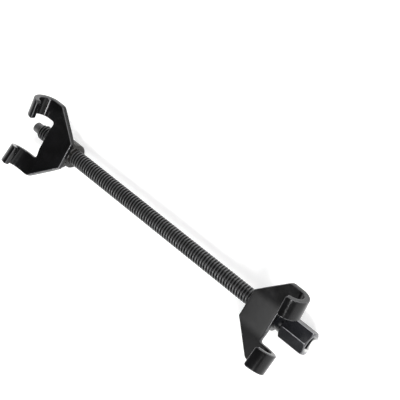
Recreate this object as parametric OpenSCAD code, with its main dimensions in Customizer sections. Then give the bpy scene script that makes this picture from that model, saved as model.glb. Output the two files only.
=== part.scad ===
// Coil spring compressor: one screw unit.
// A right-hand trapezoidal screw runs freely through the plain sleeve of the
// upper jaw and through the threaded sleeve of the lower jaw. Turning the
// drive head clockwise pulls the lower jaw towards the upper one.
// +X runs along the screw towards the drive head, +Z is up and away from the
// screw on the side of the hooks. The origin is on the screw axis, at the
// mouth of the square drive. Units are millimetres.

/* [Screw] */
// Length of the unit from the dog point to the drive face
screw_len = 370; // [320:10:420]
// Outside diameter of the thread
thread_d = 15.9; // [15:0.1:16]
// Pitch of the single-start thread, also its lead
thread_pitch = 3.175; // [3:0.025:4]
// Depth of the thread
thread_depth = 1.6; // [1.3:0.1:1.8]
// Diameter of the plain dog point at the far end
dog_d = 10.6; // [8:0.2:12]
// Length of the dog point
dog_len = 7.7; // [6:0.1:15]

/* [Drive head] */
// Width across the flats of the hexagon
hex_af = 22; // [21:0.5:24]
// Length of the hexagon
hex_len = 28.3; // [26:0.1:34]
// Diameter of the round neck behind the hexagon
neck_d = 17.6; // [17:0.2:20]
// Length of the round neck
neck_len = 8.3; // [5:0.1:10]
// Width of the square drive socket
drive_sq = 12.8; // [12.7:0.05:13]
// Depth of the square drive socket
drive_depth = 13; // [9:0.5:13]
// Diameter of the dowel pin that locks the head to the screw
pin_d = 4; // [3:0.5:5]

/* [Thrust washer] */
// Outside diameter of the washer
washer_d = 24.4; // [21:0.2:25.4]
// Thickness of the washer
washer_t = 2.5; // [1.5:0.5:3.5]

/* [Sleeves] */
// Outside diameter of both sleeves
sleeve_d = 25.6; // [24:0.2:27]
// Length of the plain upper sleeve
sleeve_len = 24.3; // [20:0.1:26]
// Length of the threaded lower sleeve
nut_len = 27; // [22:0.5:28]
// Radial running clearance of the screw in the plain sleeve
run_gap = 0.05; // [0.03:0.01:0.1]
// Axial play of the thread on each flank
flank_gap = 0.15; // [0.1:0.01:0.25]

/* [Jaws] */
// Distance between the narrow edges of the two jaws as stored
jaw_gap = 244.6; // [60:1:246]
// Thickness of the jaw plate
plate_t = 5.5; // [4.5:0.25:6]
// Half width of the narrow edge
narrow_hw = 13.84; // [12:0.1:16]
// Half width over the arms
wide_hw = 39.86; // [38:0.1:42]
// Distance from the narrow edge to the outer corners
slope_len = 27.65; // [22:0.1:29]
// Half width of the notch between the arms
notch_hw = 20.42; // [18:0.1:22]
// Distance from the narrow edge to the corners of the notch
notch_x = 29.8; // [29:0.1:32]
// How far the middle of the notch floor stands forward, upper jaw
upper_tongue = 0.4; // [0.2:0.1:4]
// How far the middle of the notch floor stands forward, lower jaw
lower_tongue = 2.5; // [0.2:0.1:4]
// Angle at which each wing is bent up
wing_ang = 9.6; // [6:0.1:12]
// Half distance between the two wing bends
bend_y = 14.8; // [13:0.1:16]
// Inside radius of the soft wing bends
bend_r = 60; // [40:1:70]

/* [Hooks] */
// Inside radius of the hooks, which takes the spring wire
hook_r = 9.5; // [8:0.1:10.5]
// Distance from the narrow edge to the axis of the hooks
hook_x = 38.2; // [37:0.1:42]
// Angle through which the hooks are curled
hook_sweep = 178; // [155:1:179]
// Radius of the corners of the lip
lip_corner = 2.2; // [2:0.2:5]

/* [Hidden] */

$fn = 96;
ru = thread_d / 2;                       // thread crest radius
ro = ru - thread_depth;                  // thread root radius
hook_ro = hook_r + plate_t;              // outside radius of the curl
sleeve_r = sleeve_d / 2;
seat_z = sleeve_r + 0.02;                // underside of the flat of the plate
plate_z = seat_z + plate_t;              // upper face of the flat of the plate
neck_x = -hex_len - neck_len;            // face of the neck on the washer
washer_x = neck_x - washer_t;            // face of the washer on the sleeve
sleeve_x1 = washer_x - 0.05;             // head end of the plain sleeve
sleeve_x0 = sleeve_x1 - sleeve_len;
upper_x = sleeve_x0 - 0.8;               // narrow edge of the upper jaw
lower_x = upper_x - jaw_gap;             // narrow edge of the lower jaw
tip_x = -screw_len;
thread_x0 = tip_x + dog_len;             // shoulder of the dog point
thread_x1 = sleeve_x0 - 1.2;             // end of the thread, start of the journal
tenon_r = 6.5;
tenon_x1 = neck_x + 18;                  // end of the tenon inside the head
hex_turn = -6;                           // turn of the hexagon at rest, degrees

// ---- thread ---------------------------------------------------------------
// Share of the pitch at which the leading flank stands at radius r.
flank_tan = tan(14.5);
crest = 0.5 - thread_depth * flank_tan / thread_pitch;
function flank_at(r) = 0.5 - crest / 2 - (ru - r) * flank_tan / thread_pitch;
// Four corners of one pitch: share of the pitch and radius. grow widens the
// ridge by that much on each flank.
function profile(rlow, rhigh, grow) =
    let (a = flank_at(rlow) - grow / thread_pitch,
         b = flank_at(rhigh) - grow / thread_pitch)
    [[a, rlow], [b, rhigh], [1 - b, rhigh], [1 - a, rlow]];

// Ring of n points square to the axis, from +Y towards +Z.
function ring(x, r, n) =
    [for (i = [0 : n - 1]) [x, r * cos(360 * i / n), r * sin(360 * i / n)]];

// Side faces between rings of n points that start at index a and b, b being
// next towards +X.
function side(a, b, n) =
    [for (i = [0 : n - 1]) [a + i, b + i, b + (i + 1) % n, a + (i + 1) % n]];

// Flat step from a coarse ring of n points at a to a fine ring of n * k
// points at b. fine_out tells whether the fine ring is the larger one. The
// face looks towards -X.
function step(a, b, n, k, fine_out) =
    [for (i = [0 : n - 1])
        let (h = k / 2, c0 = a + i, c1 = a + (i + 1) % n)
        each concat(
            [for (m = [0 : k - 1])
                let (c = m < h ? c0 : c1, f0 = b + i * k + m, f1 = b + (i * k + m + 1) % (n * k))
                fine_out ? [c, f0, f1] : [f0, c, f1]],
            [fine_out ? [c0, b + i * k + h, c1] : [b + i * k + h, c0, c1]])];

// A closed screw: rings before the thread, four helices, rings after it.
// The last ring before and the first ring after have n points at the root
// radius. The ridge starts and ends blunt in the +Y half plane.
module screw(p, x0, n, turns, before, after, faces0, faces1) {
    K = n * turns;
    nb = len(before);
    a0 = nb + 4 * (K + 1);
    helices = [for (q = [0 : 3], k = [0 : K])
        [x0 + thread_pitch * (k / n + p[q][0]),
         p[q][1] * cos(360 * k / n), p[q][1] * sin(360 * k / n)]];
    function v(q, k) = nb + q * (K + 1) + k;
    r0 = nb - n;
    ridge = [for (q = [0 : 2], k = [0 : K - 1])
        each [[v(q, k), v(q + 1, k), v(q + 1, k + 1)], [v(q, k), v(q + 1, k + 1), v(q, k + 1)]]];
    root = [for (k = [0 : K - n - 1])
        each [[v(3, k), v(0, k + n), v(0, k + n + 1)], [v(3, k), v(0, k + n + 1), v(3, k + 1)]]];
    start = concat(
        [for (i = [0 : n - 2]) [r0 + i, v(0, i), v(0, i + 1), r0 + i + 1]],
        [let (c = r0 + n - 1) each [[c, v(0, n - 1), v(0, n)], [c, v(0, n), v(3, 0)],
                                    [c, v(3, 0), v(0, 0)], [c, v(0, 0), r0]]],
        [[v(3, 0), v(2, 0), v(1, 0), v(0, 0)]]);
    finish = concat(
        [let (c = v(3, K - n + 1)) each [[c, v(3, K - n), v(0, K)], [c, v(0, K), v(3, K)],
                                         [c, v(3, K), a0], [c, a0, a0 + 1]]],
        [for (i = [1 : n - 1]) [v(3, K - n + i), a0 + i, a0 + (i + 1) % n, v(3, K - n + i + 1)]],
        [[v(0, K), v(1, K), v(2, K), v(3, K)]]);
    polyhedron(points = concat(before, helices, after),
               faces = concat(faces0, start, ridge, root, finish, faces1), convexity = 10);
}

rod_n = 12;              // steps per turn of the screw
rod_k = 4;               // the plain rounds have rod_n * rod_k sides
nut_n = 24;              // steps per turn inside the nut
start_x = thread_x0 + 0.3;
rod_turns = floor((thread_x1 - start_x) / thread_pitch - 1);

module lead_screw() color("#2b2b2c") {
    m = rod_n * rod_k;
    rd = dog_d / 2;
    nb = 3 * m + rod_n;
    a0 = nb + 4 * (rod_n * rod_turns + 1);
    b0 = a0 + rod_n;
    screw(profile(ro, ru, 0), start_x, rod_n, rod_turns,
        concat(ring(tip_x, rd - 1, m), ring(tip_x + 1, rd, m), ring(thread_x0, rd, m),
               ring(thread_x0, ro, rod_n)),
        concat(ring(thread_x1, ro, rod_n),
               ring(thread_x1, ru, m), ring(neck_x, ru, m),
               ring(neck_x, tenon_r, m), ring(tenon_x1 - 0.8, tenon_r, m),
               ring(tenon_x1, tenon_r - 0.8, m)),
        concat([[for (i = [0 : m - 1]) i]], side(0, m, m), side(m, 2 * m, m),
               step(3 * m, 2 * m, rod_n, rod_k, false)),
        concat(step(a0, b0, rod_n, rod_k, true),
               side(b0, b0 + m, m), side(b0 + m, b0 + 2 * m, m),
               side(b0 + 2 * m, b0 + 3 * m, m), side(b0 + 3 * m, b0 + 4 * m, m),
               [[for (i = [m - 1 : -1 : 0]) b0 + 4 * m + i]]));
}

// ---- drive head -----------------------------------------------------------
module along_x(x) translate([x, 0, 0]) rotate([0, 90, 0]) children();

// Hexagonal head with turned chamfers, a round neck, a blind bore for the
// tenon of the screw, a square drive socket and a cross hole.
module drive_head() color("#303236") difference() {
    union() {
        intersection() {
            rotate([hex_turn, 0, 0]) along_x(-hex_len)
                cylinder(r = hex_af / 2 / cos(30), h = hex_len, $fn = 6);
            rotate([0, 90, 0]) rotate_extrude()
                polygon([[0, -hex_len], [hex_af / 2 - 0.3, -hex_len], [hex_af / 2 + 2, -hex_len + 1.4],
                         [hex_af / 2 + 2, -1.4], [hex_af / 2 - 0.3, 0], [0, 0]]);
        }
        along_x(neck_x) cylinder(d = neck_d, h = neck_len + 1);
    }
    along_x(neck_x - 1) cylinder(r = tenon_r + 0.02, h = tenon_x1 - neck_x + 1.5);
    rotate([hex_turn, 0, 0]) {
        translate([-drive_depth, -drive_sq / 2, -drive_sq / 2]) cube([drive_depth + 1, drive_sq, drive_sq]);
        translate([neck_x + 12, 0, 0]) rotate([90, 0, 0]) translate([0, 0, tenon_r - 1])
            cylinder(d = pin_d, h = hex_af);
    }
    rotate([0, 90, 0]) rotate_extrude()
        polygon([[0, 1], [drive_sq * 0.707 - 0.4 + 1, 1], [drive_sq * 0.707 - 0.4 - 1.2, -1.2], [0, -1.2]]);
}

// Dowel pin in the cross hole, between the tenon and one flat.
module head_pin() color("#3a3a3b") {
    h = hex_af / 2 - 0.4 - (tenon_r + 0.05);
    rotate([hex_turn, 0, 0]) translate([neck_x + 12, 0, 0]) rotate([90, 0, 0])
        translate([0, 0, tenon_r + 0.05]) rotate_extrude()
            polygon([[0, 0], [pin_d / 2 - 0.4, 0], [pin_d / 2 - 0.02, 0.4],
                     [pin_d / 2 - 0.02, h - 0.4], [pin_d / 2 - 0.4, h], [0, h]]);
}

module thrust_washer() color("#4a4a4a") along_x(washer_x) difference() {
    rotate_extrude() polygon([[0, 0], [washer_d / 2 - 0.5, 0], [washer_d / 2, 0.5],
        [washer_d / 2, washer_t - 0.5], [washer_d / 2 - 0.5, washer_t], [0, washer_t]]);
    translate([0, 0, -1]) cylinder(r = ru + 0.1, h = washer_t + 2);
}

// ---- sleeves --------------------------------------------------------------
// Turned blank of a sleeve from x0 to x1 with chamfered ends.
module blank(x0, x1) rotate([0, 90, 0]) rotate_extrude()
    polygon([[0, x0], [sleeve_r - 1.2, x0], [sleeve_r, x0 + 1.2],
             [sleeve_r, x1 - 1.2], [sleeve_r - 1.2, x1], [0, x1]]);

module upper_sleeve() color("#35322f") difference() {
    blank(sleeve_x0, sleeve_x1);
    along_x(sleeve_x0 - 1) cylinder(r = ru + run_gap, h = sleeve_len + 2);
}

module lower_nut_sleeve() color("#35322f") {
    c = cos(180 / nut_n);
    hi = (ru + 0.08) / c;
    lo = (ro + 0.25) / c;
    x1 = lower_x - 0.8;
    x0 = x1 - nut_len;
    // the cavity starts whole pitches from the start of the screw's thread
    s = start_x + thread_pitch * (floor((x0 - start_x) / thread_pitch) - 2);
    t = ceil((x1 - s) / thread_pitch) + 2;
    a0 = nut_n + 4 * (nut_n * t + 1);
    difference() {
        prism(x0, x1);
        screw(profile(lo, hi, flank_gap), s, nut_n, t,
            ring(s - 1, lo, nut_n), ring(s + thread_pitch * (t + 1) + 1, lo, nut_n),
            [[for (i = [0 : nut_n - 1]) i]], [[for (i = [nut_n - 1 : -1 : 0]) a0 + i]]);
    }
}

// Sleeve blank with 48 flat sides, the corners on the sleeve's radius, and
// chamfered ends.
module prism(x0, x1) {
    n = 48;
    r = sleeve_r; q = sleeve_r - 1.2;
    polyhedron(points = concat(ring(x0, q, n), ring(x0 + 1.2, r, n), ring(x1 - 1.2, r, n), ring(x1, q, n)),
        faces = concat([[for (i = [0 : n - 1]) i]], side(0, n, n), side(n, 2 * n, n), side(2 * n, 3 * n, n),
            [[for (i = [n - 1 : -1 : 0]) 3 * n + i]]));
}

// ---- jaw ------------------------------------------------------------------
// Outline with each corner rounded: a corner is [x, y, radius].
function rounded(c) = [for (i = [0 : len(c) - 1])
    let (n = len(c), p = [c[i][0], c[i][1]],
         a = [c[(i + n - 1) % n][0], c[(i + n - 1) % n][1]], b = [c[(i + 1) % n][0], c[(i + 1) % n][1]],
         u = (a - p) / norm(a - p), w = (b - p) / norm(b - p),
         half = acos(max(-1, min(1, u * w))) / 2, r = c[i][2])
    each r <= 0 ? [p] :
        let (m = (u + w) / norm(u + w), o = p + m * r / sin(half),
             t0 = p + u * r / tan(half), t1 = p + w * r / tan(half),
             s0 = atan2((t0 - o)[1], (t0 - o)[0]), d = atan2((t1 - o)[1], (t1 - o)[0]) - s0,
             dd = d > 180 ? d - 360 : d < -180 ? d + 360 : d)
        [for (k = [0 : 6]) o + r * [cos(s0 + dd * k / 6), sin(s0 + dd * k / 6)]]];

// Section of half the plate across the screw, in the frame of its wing: the
// bend line is y = 0 and the wing's upper face z = 0. Straight wing, soft bend,
// then the flat middle running a little past the plane of symmetry.
bend_w = bend_r * tan(wing_ang / 2);
bend_y0 = bend_y - bend_w;
function bent(r) = [for (k = [0 : 8]) let (a = wing_ang * k / 8) [bend_w - r * sin(a), bend_r - r * cos(a)]];
flat_end = (bend_y0 + 2) * [-cos(wing_ang), sin(wing_ang)];
half_section = concat([[wide_hw, 0]], bent(bend_r), [bent(bend_r)[8] + flat_end],
    [bent(bend_r + plate_t)[8] + flat_end],
    [for (k = [8 : -1 : 0]) bent(bend_r + plate_t)[k]], [[wide_hw, -plate_t]]);

// Distance of a point of the upper face, at y from the middle, from the bend
// line, measured along the wing.
function along_wing(y) = y > bend_y + bend_w * cos(wing_ang)
    ? (y - bend_y) / cos(wing_ang)
    : (y - bend_y) * cos(wing_ang) + (y > bend_y0
        ? (bend_r - sqrt(bend_r * bend_r - (y - bend_y0) * (y - bend_y0))) * sin(wing_ang) : 0);
e0 = round(along_wing(notch_hw) * 50) / 50;
e1 = round(along_wing(wide_hw) * 50) / 50;

// Outline of one half in the plane of its wing: narrow edge at x = 0, outer
// slope, arm to the hook line, notch with the middle of its floor forward.
function half_plan(tongue) = rounded([[0, along_wing(0) - 4, 0], [0, along_wing(narrow_hw), 1.5], [slope_len, e1, 7],
    [hook_x, e1, 0], [hook_x, e0, 0], [notch_x, e0, 2.5],
    [notch_x + tongue, along_wing(notch_hw - 9), 3], [notch_x + tongue, along_wing(0) - 4, 0]]);

module half_plate(tongue) intersection() {
    translate([0, 0, -12]) linear_extrude(height = 18) polygon(half_plan(tongue));
    rotate([90, 0, 90]) translate([0, 0, -1]) linear_extrude(height = hook_x + 3) polygon(half_section);
}

// One hook in the frame of its wing.
module hook() {
    w = e1 - e0;
    back = 180 - hook_sweep;
    difference() {
        intersection() {
            translate([hook_x, e0, hook_r]) rotate([-90, 0, 0]) cylinder(r = hook_ro, h = w);
            translate([hook_x, e0 - 1, -plate_t - 1]) cube([hook_ro + 1, w + 2, 2 * hook_ro + 2]);
        }
        translate([hook_x, e0 - 1, hook_r]) rotate([-90, 0, 0]) cylinder(r = hook_r, h = w + 2);
        // the lip is cut square to the curl, short of its top
        translate([hook_x, 0, hook_r]) rotate([0, back, 0]) {
            translate([-2 * hook_ro, e0 - 1, 0]) cube([2 * hook_ro, w + 2, 2 * hook_ro]);
            for (s = [0, 1]) translate([0, s ? e1 : e0, hook_r - 2]) mirror([0, s, 0]) difference() {
                translate([-1, -1, 0]) cube([lip_corner + 1, lip_corner + 1, plate_t + 4]);
                translate([lip_corner, lip_corner, -1]) cylinder(r = lip_corner + 0.1, h = plate_t + 6);
            }
        }
    }
}

module jaw(tongue) for (s = [0, 1]) mirror([0, s, 0]) intersection() {
    translate([0, bend_y, plate_z]) rotate([wing_ang, 0, 0]) {
        half_plate(tongue);
        hook();
    }
    translate([-5, 0, -5]) cube([80, 80, 80]);
}

// Two fillet welds in the corners between a sleeve and the plate.
module welds(len) for (s = [0, 1]) mirror([0, s, 0]) difference() {
    along_x(1.5) translate([-9.6, 10.4, 0]) cylinder(r = 4.4, h = len - 3);
    along_x(-1) cylinder(r = sleeve_r, h = 60);
    translate([-1, -1, seat_z]) cube([60, bend_y0 + 1, 20]);
    rotate([90, 0, 90]) translate([0, 0, -1]) linear_extrude(height = 60)
        polygon(concat([for (k = [0 : 8]) let (a = wing_ang * k / 8, r = bend_r + plate_t)
            [bend_y0 + r * sin(a), plate_z + bend_r - r * cos(a)]],
            [[bend_y + 12, seat_z + 20], [bend_y0, seat_z + 20]]));
}

module upper_jaw() color("#3c3c3d") translate([upper_x, 0, 0]) jaw(upper_tongue);
module upper_welds() color("#302d2a") translate([upper_x, 0, 0]) welds(sleeve_len);
module lower_jaw() color("#2a2a2b") translate([lower_x, 0, 0]) mirror([1, 0, 0]) jaw(lower_tongue);
module lower_welds() color("#302d2a") translate([lower_x, 0, 0]) mirror([1, 0, 0]) welds(nut_len);

lead_screw();
drive_head();
head_pin();
thrust_washer();
upper_jaw();
upper_sleeve();
upper_welds();
lower_jaw();
lower_nut_sleeve();
lower_welds();
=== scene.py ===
import bpy
import bmesh
import random
from math import pi, sin, cos, tan, radians, sqrt, atan2, asin, floor, ceil, acos
from mathutils import Vector, Matrix, noise


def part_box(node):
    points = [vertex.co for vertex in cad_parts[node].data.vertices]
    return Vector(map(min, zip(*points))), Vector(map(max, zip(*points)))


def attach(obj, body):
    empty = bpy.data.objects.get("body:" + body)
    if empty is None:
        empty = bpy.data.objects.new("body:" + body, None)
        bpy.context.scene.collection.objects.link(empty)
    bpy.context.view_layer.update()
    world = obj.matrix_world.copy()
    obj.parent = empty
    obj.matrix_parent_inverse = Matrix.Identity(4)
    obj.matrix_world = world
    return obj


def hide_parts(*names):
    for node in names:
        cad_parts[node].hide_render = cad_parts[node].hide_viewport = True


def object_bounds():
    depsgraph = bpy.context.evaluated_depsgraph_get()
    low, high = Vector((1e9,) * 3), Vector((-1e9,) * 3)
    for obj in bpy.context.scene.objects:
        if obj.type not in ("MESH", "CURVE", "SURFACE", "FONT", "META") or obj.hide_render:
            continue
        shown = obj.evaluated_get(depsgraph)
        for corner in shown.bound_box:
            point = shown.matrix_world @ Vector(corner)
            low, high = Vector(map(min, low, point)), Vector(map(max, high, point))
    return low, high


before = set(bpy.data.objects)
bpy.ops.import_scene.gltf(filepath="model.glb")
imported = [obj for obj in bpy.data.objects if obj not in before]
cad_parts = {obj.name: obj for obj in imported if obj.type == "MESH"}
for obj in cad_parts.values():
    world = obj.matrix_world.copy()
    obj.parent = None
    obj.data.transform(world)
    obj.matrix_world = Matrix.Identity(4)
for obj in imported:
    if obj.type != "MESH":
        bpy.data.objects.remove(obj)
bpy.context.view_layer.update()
random.seed(7)
MM = 0.001

# ---------------------------------------------------------------- dimensions
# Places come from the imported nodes; the section sizes are those of the design.
def mm(node, which, axis):
    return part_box(node)[which][axis] / MM

PITCH, RU, DEPTH = 3.175, 7.95, 1.6
RO = RU - DEPTH
TIP = mm("lead_screw", 0, 0)
DOG_LEN, DOG_R = 7.7, 5.3
THREAD0 = TIP + DOG_LEN
SL0, SL1 = mm("upper_sleeve", 0, 0), mm("upper_sleeve", 1, 0)
NT0, NT1 = mm("lower_nut_sleeve", 0, 0), mm("lower_nut_sleeve", 1, 0)
SLEEVE_R = 12.8
THREAD1 = SL0 - 1.2
WA0, WA1 = mm("thrust_washer", 0, 0), mm("thrust_washer", 1, 0)
NECK = WA1
HEX_LEN, HEX_AF, NECK_R = 28.3, 22.0, 8.8
HEX_TURN = radians(6)
UP_X = mm("upper_jaw", 0, 0)
LO_X = mm("lower_jaw", 1, 0)
T = 5.5
HOOK_R, HOOK_X, SWEEP = 9.5, 38.2, radians(178)
WING, BEND_Y, BEND_R = radians(9.6), 14.8, 60.0
SEAT_Z = SLEEVE_R + 0.02
PLATE_Z = SEAT_Z + T

# ---------------------------------------------------------------- mesh tools
def finish_mesh(name, bm, body, node, mat, sharp=38, weight=True):
    """bmesh in millimetres -> object in metres that rides on its body."""
    bmesh.ops.remove_doubles(bm, verts=bm.verts, dist=1e-4)
    bmesh.ops.dissolve_degenerate(bm, dist=1e-5, edges=bm.edges)
    bmesh.ops.recalc_face_normals(bm, faces=bm.faces)
    for v in bm.verts:
        v.co *= MM
    for f in bm.faces:
        f.smooth = True
    for e in bm.edges:
        if len(e.link_faces) == 2:
            e.smooth = e.calc_face_angle(0) < radians(sharp)
    me = bpy.data.meshes.new(name)
    bm.to_mesh(me)
    bm.free()
    me.validate()
    ob = bpy.data.objects.new(name, me)
    bpy.context.scene.collection.objects.link(ob)
    me.materials.append(mat)
    if weight:
        wn = ob.modifiers.new("weighted", "WEIGHTED_NORMAL")
        wn.keep_sharp = True
        wn.weight = 60
    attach(ob, body)
    if node:
        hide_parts(node)
    return ob


def rounded(c, k=6):
    """Closed outline from corners (x, y, radius), k + 1 points on each corner."""
    out = []
    n = len(c)
    for i in range(n):
        p = Vector(c[i][:2]); a = Vector(c[i - 1][:2]); b = Vector(c[(i + 1) % n][:2])
        r = c[i][2]
        if r <= 1e-6:
            out.append(p)
            continue
        u = (a - p).normalized(); w = (b - p).normalized()
        half = acos(max(-1, min(1, u.dot(w)))) / 2
        m = (u + w).normalized()
        o = p + m * (r / sin(half))
        t0 = p + u * (r / tan(half)); t1 = p + w * (r / tan(half))
        s0 = atan2((t0 - o).y, (t0 - o).x)
        d = atan2((t1 - o).y, (t1 - o).x) - s0
        if d > pi: d -= 2 * pi
        if d < -pi: d += 2 * pi
        for j in range(k + 1):
            out.append(o + Vector((cos(s0 + d * j / k), sin(s0 + d * j / k))) * r)
    return out


def profile(c, k=5):
    """Open profile of (x, r, fillet); the ends stay sharp."""
    pts = []
    for i, q in enumerate(c):
        if i in (0, len(c) - 1) or len(q) < 3 or q[2] <= 0:
            pts.append((q[0], q[1]))
            continue
        p = Vector(q[:2]); a = Vector(c[i - 1][:2]); b = Vector(c[i + 1][:2])
        u = (a - p).normalized(); w = (b - p).normalized()
        half = acos(max(-1, min(1, u.dot(w)))) / 2
        r = q[2]
        m = (u + w).normalized()
        o = p + m * (r / sin(half))
        t0 = p + u * (r / tan(half)); t1 = p + w * (r / tan(half))
        s0 = atan2((t0 - o).y, (t0 - o).x)
        d = atan2((t1 - o).y, (t1 - o).x) - s0
        if d > pi: d -= 2 * pi
        if d < -pi: d += 2 * pi
        for j in range(k + 1):
            e = o + Vector((cos(s0 + d * j / k), sin(s0 + d * j / k))) * r
            pts.append((e.x, e.y))
    return pts


def rings_to_bm(rings, close=False, cap0=True, cap1=True):
    """rings: lists of 3-D points with equal counts; quads between neighbours."""
    bm = bmesh.new()
    vs = [[bm.verts.new(p) for p in r] for r in rings]
    n = len(rings[0])
    pairs = list(zip(vs, vs[1:])) + ([(vs[-1], vs[0])] if close else [])
    for a, b in pairs:
        for i in range(n):
            bm.faces.new((a[i], b[i], b[(i + 1) % n], a[(i + 1) % n]))
    if not close:
        if cap0: bm.faces.new(vs[0])
        if cap1: bm.faces.new(list(reversed(vs[-1])))
    return bm


def lathe(prof, seg=96, close=True):
    """A ring-shaped body about X from a closed profile of (x, r)."""
    return rings_to_bm([[(x, r * cos(2 * pi * i / seg), r * sin(2 * pi * i / seg)) for i in range(seg)]
                        for x, r in prof], close=close)


def cut(ob, tool_bm, name):
    """Exact boolean difference, applied."""
    me = bpy.data.meshes.new(name)
    for v in tool_bm.verts:
        v.co *= MM
    bmesh.ops.recalc_face_normals(tool_bm, faces=tool_bm.faces)
    tool_bm.to_mesh(me)
    tool_bm.free()
    t = bpy.data.objects.new(name, me)
    bpy.context.scene.collection.objects.link(t)
    mod = ob.modifiers.new("cut", "BOOLEAN")
    mod.operation = "DIFFERENCE"; mod.solver = "EXACT"; mod.object = t
    dg = bpy.context.evaluated_depsgraph_get()
    dg.update()
    new = bpy.data.meshes.new_from_object(ob.evaluated_get(dg))
    ob.modifiers.remove(mod)
    old = ob.data
    ob.data = new
    bpy.data.meshes.remove(old)
    bpy.data.objects.remove(t)


# ---------------------------------------------------------------- materials
def mat_new(name):
    m = bpy.data.materials.new(name)
    m.use_nodes = True
    nt = m.node_tree
    nt.nodes.clear()
    out = nt.nodes.new("ShaderNodeOutputMaterial")
    b = nt.nodes.new("ShaderNodeBsdfPrincipled")
    nt.links.new(b.outputs[0], out.inputs[0])
    return m, nt, b


def N(nt, kind, **kw):
    n = nt.nodes.new(kind)
    for k, v in kw.items():
        if k in n.inputs:
            n.inputs[k].default_value = v
        else:
            setattr(n, k, v)
    return n


def noise_tex(nt, coord, scale, detail=4, rough=0.5, stretch=None):
    src = coord
    if stretch:
        mp = nt.nodes.new("ShaderNodeMapping")
        mp.inputs["Scale"].default_value = stretch
        nt.links.new(coord, mp.inputs["Vector"])
        src = mp.outputs[0]
    n = nt.nodes.new("ShaderNodeTexNoise")
    n.inputs["Scale"].default_value = scale
    n.inputs["Detail"].default_value = detail
    n.inputs["Roughness"].default_value = rough
    nt.links.new(src, n.inputs["Vector"])
    return n.outputs["Fac"]


def ramp(nt, fac, stops, interp="LINEAR"):
    r = nt.nodes.new("ShaderNodeValToRGB")
    r.color_ramp.interpolation = interp
    els = r.color_ramp.elements
    while len(els) < len(stops):
        els.new(0.5)
    for e, (p, c) in zip(els, stops):
        e.position = p
        e.color = (*c, 1) if len(c) == 3 else c
    nt.links.new(fac, r.inputs[0])
    return r.outputs[0]


def g(v):
    return (v, v, v)


def mapr(nt, fac, a, b, c, d):
    m = nt.nodes.new("ShaderNodeMapRange")
    for k, v in zip(("From Min", "From Max", "To Min", "To Max"), (a, b, c, d)):
        m.inputs[k].default_value = v
    nt.links.new(fac, m.inputs["Value"])
    return m.outputs[0]


def math_n(nt, op, a, b):
    m = nt.nodes.new("ShaderNodeMath")
    m.operation = op
    for i, v in enumerate((a, b)):
        if isinstance(v, (int, float)):
            m.inputs[i].default_value = v
        else:
            nt.links.new(v, m.inputs[i])
    return m.outputs[0]


def mixc(nt, fac, a, b):
    m = nt.nodes.new("ShaderNodeMix")
    m.data_type = "RGBA"
    nt.links.new(fac, m.inputs[0])
    for s, v in ((6, a), (7, b)):
        if isinstance(v, tuple):
            m.inputs[s].default_value = (*v, 1)
        else:
            nt.links.new(v, m.inputs[s])
    return m.outputs[2]


def bump(nt, height, strength, dist, normal=None):
    b = nt.nodes.new("ShaderNodeBump")
    b.inputs["Strength"].default_value = strength
    b.inputs["Distance"].default_value = dist
    nt.links.new(height, b.inputs["Height"])
    if normal:
        nt.links.new(normal, b.inputs["Normal"])
    return b.outputs[0]


def attribute(nt, name):
    a = nt.nodes.new("ShaderNodeAttribute")
    a.attribute_name = name
    return a.outputs["Fac"]


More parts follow.
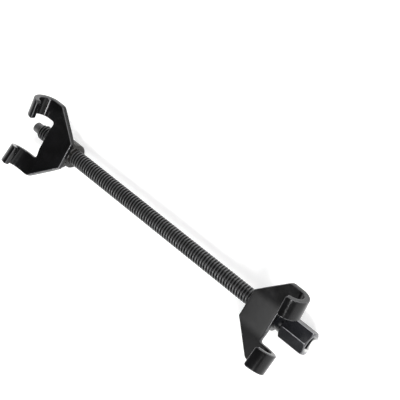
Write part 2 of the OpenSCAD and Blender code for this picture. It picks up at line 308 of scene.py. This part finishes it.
def black_metal(name, dark, light, rough, rubbed_edge_and_highlight, rubbed_edge_and_highlight_amt, peel, wave, coat=0.0, coat_rough=0.1,
                metallic=0.0, stretch=None, spec=0.5, tint=None, worn_and_highlight=None, bare_and_highlight=None):
    """Black finish on steel: cloudy colour, rubbed edges that also serve as painted highlight lines, specks of dust,
    orange peel and a wavy forged skin.
    worn_and_highlight and bare_and_highlight: (colour, metallic, roughness) shown where the mesh carries that mask;
    these masks hold wear and bare steel and also painted highlights."""
    m, nt, b = mat_new(name)
    tc = nt.nodes.new("ShaderNodeTexCoord").outputs["Object"]
    big = noise_tex(nt, tc, 55, 4, 0.55)
    mid = noise_tex(nt, tc, 420, 5, 0.6, stretch)
    fine = noise_tex(nt, tc, 2600, 3, 0.6, stretch)
    col = ramp(nt, big, [(0.3, dark), (0.7, light)])
    if tint:
        col = mixc(nt, mapr(nt, noise_tex(nt, tc, 140, 5, 0.65), 0.52, 0.75, 0, 0.7), col, tint)
    geo = nt.nodes.new("ShaderNodeNewGeometry")
    # sharp edges lighter: rubbed paint, and also a painted highlight line along the edges
    edge = mapr(nt, geo.outputs["Pointiness"], 0.52, 0.60, 0, 1)
    edge = math_n(nt, "MULTIPLY", edge, mapr(nt, mid, 0.38, 0.62, 0.15, 1))
    edge = math_n(nt, "MULTIPLY", edge, rubbed_edge_and_highlight_amt)
    col = mixc(nt, edge, col, rubbed_edge_and_highlight)
    speck = mapr(nt, fine, 0.66, 0.74, 0, 0.35)
    col = mixc(nt, math_n(nt, "MULTIPLY", speck, mapr(nt, big, 0.4, 0.65, 0, 0.5)), col, tuple(min(1, v * 4) for v in light))
    ro = math_n(nt, "ADD", mapr(nt, big, 0.3, 0.7, rough - 0.03, rough + 0.04), mapr(nt, mid, 0.3, 0.7, -0.02, 0.03))
    ro = math_n(nt, "ADD", ro, math_n(nt, "MULTIPLY", edge, 0.10))
    metal = None
    for key, spec_of in (("worn_and_highlight", worn_and_highlight), ("bare_and_highlight", bare_and_highlight)):
        if not spec_of:
            continue
        c, mt, rg = spec_of
        f = math_n(nt, "MULTIPLY", attribute(nt, key), mapr(nt, mid, 0.3, 0.6, 0.55, 1.0))
        col = mixc(nt, f, col, mixc(nt, big, tuple(v * 0.85 for v in c), tuple(min(1, v * 1.15) for v in c)))
        keep = math_n(nt, "SUBTRACT", 1.0, f)
        ro = math_n(nt, "ADD", math_n(nt, "MULTIPLY", ro, keep), math_n(nt, "MULTIPLY", f, rg))
        f2 = math_n(nt, "MULTIPLY", f, mt)
        metal = f2 if metal is None else math_n(nt, "MAXIMUM", metal, f2)
    nt.links.new(col, b.inputs["Base Color"])
    nt.links.new(ro, b.inputs["Roughness"])
    if metal is None:
        b.inputs["Metallic"].default_value = metallic
    else:
        nt.links.new(metal, b.inputs["Metallic"])
    b.inputs["Specular IOR Level"].default_value = spec
    b.inputs["Coat Weight"].default_value = coat
    b.inputs["Coat Roughness"].default_value = coat_rough
    nrm = bump(nt, big, wave, 0.0012)
    nrm = bump(nt, mid, peel, 0.00022, nrm)
    nrm = bump(nt, fine, peel * 0.5, 0.00005, nrm)
    nt.links.new(nrm, b.inputs["Normal"])
    return m


# jaws: the lighter edge colour and the bevel mask are partly rubbed paint, partly painted highlight lines
JAW = black_metal("jaw_black_paint", g(0.0030), (0.0055, 0.0055, 0.006), 0.16, g(0.09), 0.35, 0.012, 0.05, coat=0.08, coat_rough=0.07, spec=0.21,
                  worn_and_highlight=((0.085, 0.085, 0.088), 0.35, 0.26))
SLEEVE = black_metal("sleeve_black_paint", (0.005, 0.0047, 0.0043), (0.010, 0.0092, 0.008), 0.25, (0.08, 0.075, 0.07), 0.25, 0.08, 0.10,
                     spec=0.35, tint=(0.017, 0.014, 0.010))
WELD = black_metal("weld_black_paint", (0.005, 0.0047, 0.0043), (0.011, 0.010, 0.0085), 0.27, (0.08, 0.075, 0.07), 0.25, 0.2, 0.2,
                   spec=0.35, tint=(0.020, 0.016, 0.011))
SCREW = black_metal("screw_black_oxide", g(0.004), g(0.009), 0.20, g(0.12), 0.3, 0.08, 0.04, stretch=(0.4, 1, 1), spec=0.45,
                    worn_and_highlight=((0.085, 0.086, 0.088), 0.45, 0.32), bare_and_highlight=((0.085, 0.085, 0.084), 0.1, 0.42))
# head: the near-white bare_and_highlight colour is a painted highlight on the lit side of the socket and rim
HEAD = black_metal("head_black_oxide", (0.0075, 0.008, 0.0095), (0.011, 0.0115, 0.014), 0.24, (0.16, 0.16, 0.17), 0.4, 0.08, 0.04,
                   stretch=(1, 0.35, 0.35), spec=0.5, worn_and_highlight=((0.34, 0.345, 0.36), 0.7, 0.34), bare_and_highlight=((0.80, 0.80, 0.79), 0.3, 0.42))
WASHER = black_metal("washer_dark_zinc", g(0.10), g(0.16), 0.30, g(0.4), 0.5, 0.2, 0.03, metallic=0.9)


# ---------------------------------------------------------------- jaw
T0 = BEND_Y - BEND_R * tan(WING / 2)          # where the soft bend starts
T1 = T0 + BEND_R * WING                        # and ends, along the sheet
NEUTRAL = HOOK_R + 2.4
S_END = HOOK_X + NEUTRAL * SWEEP

def t_of_y(y):
    y1 = T0 + BEND_R * sin(WING)
    if y > y1: return T1 + (y - y1) / cos(WING)
    if y > T0: return T0 + BEND_R * asin((y - T0) / BEND_R)
    return y

def bent(s, t, n):
    """Flat sheet (s along X from the narrow edge, t across, n = 0 on the
    upper face and -T below) -> the bent and curled jaw."""
    if s <= HOOK_X:
        x, z = s, n
    else:
        a = (s - HOOK_X) / NEUTRAL
        x = HOOK_X + (HOOK_R - n) * sin(a)
        z = HOOK_R - (HOOK_R - n) * cos(a)
    sg = -1 if t < 0 else 1
    t = abs(t)
    if t <= T0:
        y, zz = t, PLATE_Z + z
    else:
        a = min(WING, (t - T0) / BEND_R)
        y = T0 + (BEND_R - z) * sin(a)
        zz = PLATE_Z + BEND_R - (BEND_R - z) * cos(a)
        if t > T1:
            y += (t - T1) * cos(WING)
            zz += (t - T1) * sin(WING)
    return Vector((x, sg * y, zz))


def jaw_corners(d, tongue):
    """Corners (s, t, radius) of the flat outline moved inwards by d."""
    h = [(0, 13.84, 1.8), (27.65, t_of_y(39.86), 7.2), (S_END, t_of_y(39.86), 2.3),
         (S_END, t_of_y(20.42), 2.3), (29.8, t_of_y(20.42), -2.4), (29.8 + tongue, t_of_y(11.42), 5.0)]
    c = h + [(s, -t, r) for s, t, r in reversed(h)]
    n = len(c)
    out = []
    for i in range(n):
        p = Vector(c[i][:2]); a = Vector(c[i - 1][:2]); b = Vector(c[(i + 1) % n][:2])
        u = (p - a).normalized(); w = (b - p).normalized()
        # the outline runs clockwise in (s, t), so inwards is on the right
        nu = Vector((u.y, -u.x)); nw = Vector((w.y, -w.x))
        k = 1 + nu.dot(nw)
        q = p + (nu + nw) * (d / k)
        convex = u.x * w.y - u.y * w.x < 0
        r = abs(c[i][2])
        out.append((q.x, q.y, max(0.25, r - d) if convex else r + d))
    return out


def jaw_bm(tongue):
    re, m = 1.05, 6
    rows = []
    for k in range(m + 1):
        a = pi / 2 * k / m
        rows.append((re * (1 - sin(a)), -re * (1 - cos(a))))
    rows += [(d, -T - n) for d, n in reversed(rows)]
    rings = []
    for d, n in rows:
        rings.append([(p.x, p.y, n) for p in rounded(jaw_corners(d, tongue), 7)])
    bm = rings_to_bm(rings)
    def slice_at(axis, v):
        no = (1, 0, 0) if axis == 0 else (0, 1, 0)
        co = (v, 0, 0) if axis == 0 else (0, v, 0)
        bmesh.ops.bisect_plane(bm, geom=bm.verts[:] + bm.edges[:] + bm.faces[:], dist=1e-5, plane_co=co, plane_no=no)
    s = 4.0
    while s < HOOK_X - 1:
        slice_at(0, s); s += 3.8
    cuts = 44
    for k in range(cuts):
        slice_at(0, HOOK_X + (S_END - HOOK_X) * k / cuts)
    for sg in (-1, 1):
        for k in range(9):
            slice_at(1, sg * (T0 + (T1 - T0) * k / 8))
        for v in (3.3, 6.6, 23.8, 27.2, 30.6, 34.0, 37.2):
            slice_at(1, sg * v)
    slice_at(1, 0.0)
    mask = bm.verts.layers.float.new("worn_and_highlight")
    for v in bm.verts:
        into = -v.co.z if v.co.z > -T / 2 else T + v.co.z      # depth below the nearer face
        v[mask] = 0.85 if 0.08 < into < 0.75 else 0.0          # paint rubbed thin on the rounded edges, and lighter there as a painted highlight line along every edge
        v.co = bent(v.co.x, v.co.y, v.co.z)
    return bm


def place_jaw(bm, upper):
    for v in bm.verts:
        x, y, z = v.co
        v.co = (UP_X + x, y, z) if upper else (LO_X - x, y, z)
    return bm


finish_mesh("upper_jaw_shell", place_jaw(jaw_bm(0.4), True), "upper_jaw_assembly", "upper_jaw", JAW, sharp=50)
finish_mesh("lower_jaw_shell", place_jaw(jaw_bm(2.5), False), "lower_jaw_assembly", "lower_jaw", JAW, sharp=50)


# ---------------------------------------------------------------- screw
def flank_at(r):
    crest = 0.5 - DEPTH * tan(radians(14.5)) / PITCH
    return 0.5 - crest / 2 - (RU - r) * tan(radians(14.5)) / PITCH

def ridge(lo, hi, grow=0.0, soft=0.28):
    """One pitch of the thread, rounded crests and roots: (share, radius)."""
    a = flank_at(lo) - grow / PITCH
    b = flank_at(hi) - grow / PITCH
    s = soft / PITCH
    h = [(a - s * 0.9, lo), (a + s * 0.05, lo + 0.10 * soft), (a + 0.3 * (b - a), lo + 0.33 * (hi - lo)),
         (b - 0.22 * (b - a), hi - 0.26 * (hi - lo)), (b + s * 0.18, hi - 0.10 * soft), (b + s * 0.9, hi)]
    return h + [(1 - q, r) for q, r in reversed(h)]


def screw_bm(prof, x0, n, turns, before, after, fade0=0.6, fade1=0.6, cone=None):
    """before and after: (x, r) rings; the last before and the first after are
    at the root radius. The ridge fades in and out along the helix, and stays
    under the radius that cone gives for x."""
    bm = bmesh.new()
    P = len(prof)
    lo = min(r for _, r in prof)
    K = n * turns
    def ringv(x, r):
        return [bm.verts.new((x, r * cos(2 * pi * i / n), r * sin(2 * pi * i / n))) for i in range(n)]
    B = [ringv(x, r) for x, r in before]
    A = [ringv(x, r) for x, r in after]
    def amp(k):
        u = min(1.0, (k / n) / fade0) if fade0 else 1
        w = min(1.0, ((K - k) / n) / fade1) if fade1 else 1
        f = lambda q: q * q * (3 - 2 * q)
        return f(u) * f(w)
    V = []
    for share, r in prof:
        col = []
        for k in range(K + 1):
            rr = lo + (r - lo) * amp(k)
            ang = 2 * pi * k / n
            x = x0 + PITCH * (k / n + share)
            if cone: rr = min(rr, cone(x))
            col.append(bm.verts.new((x, rr * cos(ang), rr * sin(ang))))
        V.append(col)
    def quads(a, b):
        for i in range(n):
            bm.faces.new((a[i], b[i], b[(i + 1) % n], a[(i + 1) % n]))
    for a, b in zip(B, B[1:]): quads(a, b)
    for a, b in zip(A, A[1:]): quads(a, b)
    bm.faces.new(B[0]); bm.faces.new(list(reversed(A[-1])))
    for q in range(P - 1):
        for k in range(K):
            bm.faces.new((V[q][k], V[q + 1][k], V[q + 1][k + 1], V[q][k + 1]))
    for k in range(K - n):
        bm.faces.new((V[-1][k], V[0][k + n], V[0][k + n + 1], V[-1][k + 1]))
    R = B[-1]
    for i in range(n - 1):
        bm.faces.new((R[i], V[0][i], V[0][i + 1], R[i + 1]))
    bm.faces.new([R[n - 1], V[0][n - 1], V[0][n]] + [V[q][0] for q in range(P - 1, -1, -1)] + [R[0]])
    S = A[0]
    bm.faces.new([V[-1][K - n]] + [V[q][K] for q in range(P)] + [S[0], S[1], V[-1][K - n + 1]])
    for i in range(1, n):
        bm.faces.new((V[-1][K - n + i], S[i], S[(i + 1) % n], V[-1][K - n + i + 1]))
    return bm


start_x = THREAD0 + 0.3
turns = floor((THREAD1 - start_x) / PITCH - 1)
tenon_x1 = NECK + 18
# the thread starts under a long taper, one turn before the blunt start of the design
lead_x = start_x - PITCH * ceil((start_x - (TIP + 4.9)) / PITCH - 1)
lead_turns = turns + round((start_x - lead_x) / PITCH)
taper = lambda x: DOG_R + 0.05 + max(0.0, x - (TIP + 5.0)) * 0.42
before = [(TIP, 1.2)] + profile([(TIP, 3.2), (TIP, DOG_R, 0.9), (lead_x - 0.05, DOG_R, 0.1), (lead_x, min(RO, taper(lead_x)))], 4)
after = [(THREAD1 - 0.3, RO)] + profile([(THREAD1 - 0.25, RO), (THREAD1, RU, 0.3), (NECK, RU, 0.2), (NECK, 6.48, 0.1), (tenon_x1, 6.48, 0.6), (tenon_x1, 1.5)], 3)
rod = screw_bm(ridge(RO, RU), lead_x, 48, lead_turns, before, after, 0.05, 0.6, taper)
mask = rod.verts.layers.float.new("bare_and_highlight")
crest = rod.verts.layers.float.new("worn_and_highlight")
for v in rod.verts:
    v[mask] = max(0.0, min(1.0, (lead_x + 0.6 - v.co.x) / 0.8))
    # crests lighter: worn thread tops, partly a painted highlight line on each crest
    v[crest] = 1.0 if v.co.yz.length > RU - 0.06 else 0.0
finish_mesh("lead_screw_shell", rod, "screw_assembly", "lead_screw", SCREW, sharp=62)


# ---------------------------------------------------------------- drive head
def hex_r(a, af, c):
    """Polar radius of a hexagon across flats af with corners rounded to c; a
    corner lies at a = 0."""
    a = (a + pi / 6) % (pi / 3) - pi / 6          # from the nearest corner
    inr = af / 2
    ca = abs(a)
    # flat whose normal is 30 degrees off the corner
    r_flat = inr / cos(pi / 6 - ca)
    oc = (inr - c) / cos(pi / 6)                  # centre of the corner arc
    disc = c * c - (oc * sin(ca)) ** 2
    if disc <= 0: return r_flat
    r_arc = oc * cos(ca) + sqrt(disc)
    # the arc spans 30 degrees either side of the corner
    px = r_arc * cos(ca) - oc; py = r_arc * sin(ca)
    return r_arc if atan2(py, px) <= pi / 6 + 1e-9 else r_flat


def square_r(a, w, c):
    """Polar radius of a square of width w with corners rounded to c; a flat's
    normal lies at a = 0."""
    a = abs((a + pi / 4) % (pi / 2) - pi / 4)
    h = w / 2
    r_flat = h / cos(a)
    k = h - c
    # corner arc centre (k, k)
    cx = cy = k
    dx, dy = cos(a), sin(a)
    bq = cx * dx + cy * dy
    disc = bq * bq - (cx * cx + cy * cy - c * c)
    if disc <= 0: return r_flat
    r_arc = bq + sqrt(disc)
    return r_arc if r_arc * dy >= k and r_arc * dx >= k else r_flat


HEX_C = 0.5
tang = atan2(HEX_C / 2, (HEX_AF / 2 - HEX_C) / cos(pi / 6) + HEX_C * cos(pi / 6))
marks = set()
for k in range(6):
    for j in range(-3, 4):
        marks.add(round(k * pi / 3 + tang * j / 3, 7))
    for d in (-1, 1):
        marks.add(round(k * pi / 3 + d * (tang + radians(0.9)), 7))
    for j in range(1, 16):
        marks.add(round(k * pi / 3 + tang + (pi / 3 - 2 * tang) * j / 16, 7))
for k in range(4):
    for d in (-4.4, -2.2, 0, 2.2, 4.4):
        marks.add(round(pi / 4 + k * pi / 2 + radians(d), 7))
AROUND = sorted(a % (2 * pi) for a in marks)
AROUND = [a for i, a in enumerate(AROUND) if i == 0 or a - AROUND[i - 1] > 1e-4]

def head_ring(x, f):
    """a = 0 is the hexagon corner that sits HEX_TURN from +Z towards +Y."""
    return [(x, f(a) * sin(a + HEX_TURN), f(a) * cos(a + HEX_TURN)) for a in AROUND]

def head_bm():
    rings, worn_and_highlight, bare_and_highlight = [], {}, {}
    tb = tenon_x1 + 0.6
    const = lambda r: (lambda a: r)
    # blind bore for the tenon, from its floor back to the neck's face
    for x, r in [(tb, 1.5), (tb, 5.9), (tb - 0.5, 6.52), (NECK + 0.6, 6.52), (NECK, 7.1)]:
        rings.append(head_ring(x, const(r)))
    for x, r in profile([(NECK, 7.2), (NECK, NECK_R, 0.8), (-HEX_LEN, NECK_R, 0.9), (-HEX_LEN, 10.2)], 4):
        rings.append(head_ring(x, const(r)))
    # the hexagon, with turned chamfers at both ends
    hexf = lambda a: hex_r(a, HEX_AF, HEX_C)
    def lim(r):
        return lambda a: min(hexf(a), r)
    cone = []
    x, r = 0.0, 10.45
    for k in range(13):
        q = k / 12
        cone.append((q * 1.9, 10.45 + 2.45 * q ** 0.8))
    for dx, r in cone:
        rings.append(head_ring(-HEX_LEN + dx, lim(r)))
    # hex corners lighter grey: worn corners, partly a painted highlight line on each corner
    for k in range(1, 8):
        worn_and_highlight[len(rings)] = -1
        rings.append(head_ring(-HEX_LEN + 1.9 + (HEX_LEN - 3.8) * k / 8, hexf))
    for dx, r in reversed(cone):
        worn_and_highlight[len(rings)] = -1 if dx > 0.9 else 0.85 if dx < 0.01 else 0.25
        rings.append(head_ring(-dx, lim(r)))
    # face, countersink and square socket
    sq = lambda a: square_r(a, 12.8, 0.9)
    for x, r in profile([(0, 10.2), (0, 9.1, 0.25), (-0.5, 8.68)], 3):
        worn_and_highlight[len(rings)] = 0.35 if r > 9.5 else 0.8
        rings.append(head_ring(x, const(r)))
    inside = len(rings)
    for k in range(1, 9):
        q = k / 8
        rings.append(head_ring(-0.5 - 2.2 * q, lambda a, q=q: max(sq(a), 8.68 - 2.3 * q)))
    for x in (-3.4, -4.5, -8, -12.4):
        rings.append(head_ring(x, sq))
    rings.append(head_ring(-12.9, lambda a: sq(a) - 0.4))
    rings.append(head_ring(-13.0, const(5.2)))
    rings.append(head_ring(-13.4, const(1.2)))
    bm = rings_to_bm(rings)
    bm.verts.ensure_lookup_table()
    lw, lb = bm.verts.layers.float.new("worn_and_highlight"), bm.verts.layers.float.new("bare_and_highlight")
    n = len(AROUND)
    for i in range(len(rings)):
        for j, a in enumerate(AROUND):
            near = abs((a + pi / 6) % (pi / 3) - pi / 6)
            v = bm.verts[i * n + j]
            w_ = worn_and_highlight.get(i, 0)
            side = max(0.0, cos(a - radians(194)))        # painted highlight: the rim and the socket mouth are lit most on this one side
            v[lw] = (1.0 if near <= tang + 1e-5 else 0.0) if w_ == -1 else w_ * (0.35 + 0.65 * side)
            # painted highlight: near-white steel on the lit lower wall of the socket, fading out deeper in where the
            # rim shades it, and on the lit side of the countersink
            v[lb] = max(0.0, min(1.0, (v.co.x + 3.3) / 0.9)) * (0.15 + 0.85 * side) if i >= inside else side ** 2 if i >= inside - 9 else 0.0
    return bm

head = finish_mesh("drive_head_shell", head_bm(), "screw_assembly", "drive_head", HEAD, sharp=32)

# cross hole in the flat away from the photo, and the dowel pin in it
PIN_X = NECK + 12
def pin_frame(u, v, w):
    """u along X, w outwards along the hole, v square to both."""
    return Vector((PIN_X + u, -w * cos(HEX_TURN) + v * sin(HEX_TURN), w * sin(HEX_TURN) + v * cos(HEX_TURN)))

cut(head, rings_to_bm([[pin_frame(2.02 * cos(2 * pi * i / 40), 2.02 * sin(2 * pi * i / 40), w) for i in range(40)] for w in (4.0, 16)]), "pin_hole")
rows = []
for w, r in profile([(6.6, 0.8), (6.6, 1.99, 0.45), (10.55, 1.99, 0.5), (10.55, 0.9, 0.1), (9.9, 0.55)], 3):
    rows.append([pin_frame(r * cos(2 * pi * i / 40), r * sin(2 * pi * i / 40), w) for i in range(40)])
finish_mesh("head_pin_shell", rings_to_bm(rows), "screw_assembly", "head_pin", WASHER, sharp=45)


# ---------------------------------------------------------------- washer and sleeves
finish_mesh("thrust_washer_shell", lathe(rounded([(WA0, 8.05, 0.25), (WA0, 12.2, 0.7), (WA1, 12.2, 0.7), (WA1, 8.05, 0.25)], 5), 96),
            "screw_assembly", "thrust_washer", WASHER, sharp=40)

def sleeve_profile(x0, x1, bore):
    return rounded([(x0, bore + 0.7, 0.15), (x0, SLEEVE_R - 1.2, 0.5), (x0 + 1.2, SLEEVE_R, 0.8), (x1 - 1.2, SLEEVE_R, 0.8),
                    (x1, SLEEVE_R - 1.2, 0.5), (x1, bore + 0.7, 0.15), (x1 - 0.7, bore, 0.2), (x0 + 0.7, bore, 0.2)], 4)

finish_mesh("upper_sleeve_shell", lathe(sleeve_profile(SL0, SL1, 8.0), 128), "upper_jaw_assembly", "upper_sleeve", SLEEVE, sharp=40)

nut_bm = rings_to_bm([[(x, r * cos(2 * pi * i / 128), r * sin(2 * pi * i / 128)) for i in range(128)]
                      for x, r in profile([(NT0, 4.0), (NT0, SLEEVE_R - 1.2, 0.5), (NT0 + 1.2, SLEEVE_R, 0.8),
                                           (NT1 - 1.2, SLEEVE_R, 0.8), (NT1, SLEEVE_R - 1.2, 0.5), (NT1, 4.0)], 4)])
nut = finish_mesh("lower_nut_sleeve_shell", nut_bm, "lower_jaw_assembly", "lower_nut_sleeve", SLEEVE, sharp=40)
cav_lo, cav_hi = RO + 0.28, RU + 0.12
s = start_x + PITCH * (floor((NT0 - start_x) / PITCH) - 2)
t = int(-(-(NT1 - s) // PITCH)) + 2
cav = screw_bm(ridge(cav_lo, cav_hi, 0.15, 0.2), s, 48, t, [(s - 1, 2.0), (s - 1, cav_lo)],
               [(s + PITCH * (t + 1) + 1, cav_lo), (s + PITCH * (t + 1) + 1, 2.0)], 0, 0)
cut(nut, cav, "nut_cavity")


# ---------------------------------------------------------------- welds
def weld_bm(length, seed):
    """Two rippled fillet beads between the sleeve and the plate, at x = 0..length
    behind the narrow edge."""
    bm = bmesh.new()
    for side in (1, -1):
        st = []
        n = 90
        for i in range(n + 1):
            q = i / n
            x = 1.2 + (length - 2.4) * q
            end = min(1, q / 0.05, (1 - q) / 0.05)
            end = sqrt(max(0.0, 1 - (1 - end) ** 2))
            rip = 0.5 + 0.5 * sin(2 * pi * x / 1.9 + 1.3 * noise.noise((x * 0.4, seed, side)))
            amp = (3.75 + 0.42 * rip + 0.55 * noise.noise((x * 0.22, seed + 3.1, side * 2.0))) * (0.35 + 0.65 * end)
            ring = []
            cy, cz = 9.9, 10.3
            m = 14
            for j in range(m + 1):
                # outer bead, from the sleeve side up to the plate
                a = radians(-78 + 138 * j / m)
                ring.append((x + 0.25 * sin(pi * j / m), side * (cy + amp * cos(a)), cz + amp * sin(a) * (0.92 if a > 0 else 1.0)))
            # inside, just within the sleeve and the plate
            ring += [(x, side * 8.6, 12.6), (x, side * 8.2, 9.4)]
            st.append(ring)
        vs = [[bm.verts.new(p) for p in r] for r in st]
        k = len(st[0])
        for a, b in zip(vs, vs[1:]):
            for i in range(k):
                bm.faces.new((a[i], b[i], b[(i + 1) % k], a[(i + 1) % k]))
        bm.faces.new(vs[0]); bm.faces.new(list(reversed(vs[-1])))
    return bm

finish_mesh("upper_weld_beads", place_jaw(weld_bm(SL1 - UP_X, 2.0), True), "upper_jaw_assembly", "upper_welds", WELD, sharp=60)
finish_mesh("lower_weld_beads", place_jaw(weld_bm(LO_X - NT0, 5.0), False), "lower_jaw_assembly", "lower_welds", WELD, sharp=60)


# ---------------------------------------------------------------- stage, light, camera
lo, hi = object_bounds()
bpy.ops.mesh.primitive_plane_add(size=6, location=(lo[0] / 2, 0, lo[2]))
floor_ob = bpy.context.object
floor_ob.name = "floor"
fm, nt, b = mat_new("floor_white")
tc = nt.nodes.new("ShaderNodeTexCoord").outputs["Object"]
nt.links.new(ramp(nt, noise_tex(nt, tc, 3, 3), [(0.3, g(0.88)), (0.7, g(0.90))]), b.inputs["Base Color"])
b.inputs["Roughness"].default_value = 0.9
b.inputs["Specular IOR Level"].default_value = 0.1
b.inputs["Emission Color"].default_value = (1, 1, 1, 1)
b.inputs["Emission Strength"].default_value = 0.30
floor_ob.data.materials.append(fm)

w = bpy.data.worlds.new("studio")
bpy.context.scene.world = w
w.use_nodes = True
nt = w.node_tree
bg = nt.nodes["Background"]
way = nt.nodes.new("ShaderNodeTexCoord").outputs["Generated"]
def facing(v, a, b, c, d, smooth=True):
    """c where the direction makes a cosine below a with v, d above b."""
    dot = nt.nodes.new("ShaderNodeVectorMath")
    dot.operation = "DOT_PRODUCT"
    nt.links.new(way, dot.inputs[0])
    dot.inputs[1].default_value = Vector(v).normalized()
    m = nt.nodes.new("ShaderNodeMapRange")
    m.interpolation_type = "SMOOTHSTEP" if smooth else "LINEAR"
    for k, x in zip(("From Min", "From Max", "To Min", "To Max"), (a, b, c, d)):
        m.inputs[k].default_value = x
    nt.links.new(dot.outputs["Value"], m.inputs["Value"])
    return m.outputs[0]
walls = facing((0, 0, 1), 0.10, 0.40, 1.5, 0.02)
axes = nt.nodes.new("ShaderNodeSeparateXYZ")
nt.links.new(way, axes.inputs[0])
up = math_n(nt, "MAXIMUM", axes.outputs[2], 0.02)
def blob(x, y, wx, wy, power):
    """Soft patch of light on the ceiling plane z = 1 round (x, y)."""
    parts = []
    for out, c, wd in ((axes.outputs[0], x, wx), (axes.outputs[1], y, wy)):
        q = math_n(nt, "DIVIDE", math_n(nt, "SUBTRACT", math_n(nt, "DIVIDE", out, up), c), wd)
        parts.append(math_n(nt, "MULTIPLY", q, q))
    e = math_n(nt, "POWER", 0.3679, math_n(nt, "ADD", parts[0], parts[1]))
    return math_n(nt, "MULTIPLY", e, power)
panel = blob(-0.29, -0.33, 0.11, 0.28, 6.5)
nt.links.new(math_n(nt, "ADD", walls, panel), bg.inputs["Strength"])
bg.inputs["Color"].default_value = (1.0, 1.0, 1.0, 1)

def sun(name, direction, strength, angle):
    d = Vector(direction).normalized()
    l = bpy.data.lights.new(name, "SUN")
    l.energy = strength
    l.angle = radians(angle)
    o = bpy.data.objects.new(name, l)
    bpy.context.scene.collection.objects.link(o)
    o.rotation_euler = (-d).to_track_quat("-Z", "Y").to_euler()
    return o

sun("side_softbox", (0.20, -0.87, 0.45), 1.4, 12)
sun("left_softbox", (-0.45, -0.66, 0.60), 0.6, 10)
sun("front_softbox", (0.48, -0.466, 0.741), 0.6, 7)
sun("edge_softbox", (0.763, -0.262, 0.559), 1.7, 9)
sun("back_softbox", (0.30, 0.84, 0.45), 1.1, 12)
sun("broad_softbox", (0.56, 0.68, 0.48), 2.2, 60)
bpy.context.scene.view_settings.view_transform = "Standard"

cam = bpy.data.cameras.new("photo_camera")
cam.sensor_width = 36
cam.lens = 36 * 1056.36 / 400
cam.clip_start = 0.01
cam.clip_end = 20
co = bpy.data.objects.new("photo_camera", cam)
bpy.context.scene.collection.objects.link(co)
right = Vector((0.7083543, 0.4892228, -0.5088174))
down = Vector((0.5414789, -0.8390477, -0.0529116))
fwd = Vector((-0.4528076, -0.2380337, -0.8592469))
m = Matrix((right, -down, -fwd)).transposed().to_4x4()
m.translation = Vector((0.27785726, 0.27569285, 0.83949231))
co.matrix_world = m
bpy.context.scene.camera = co
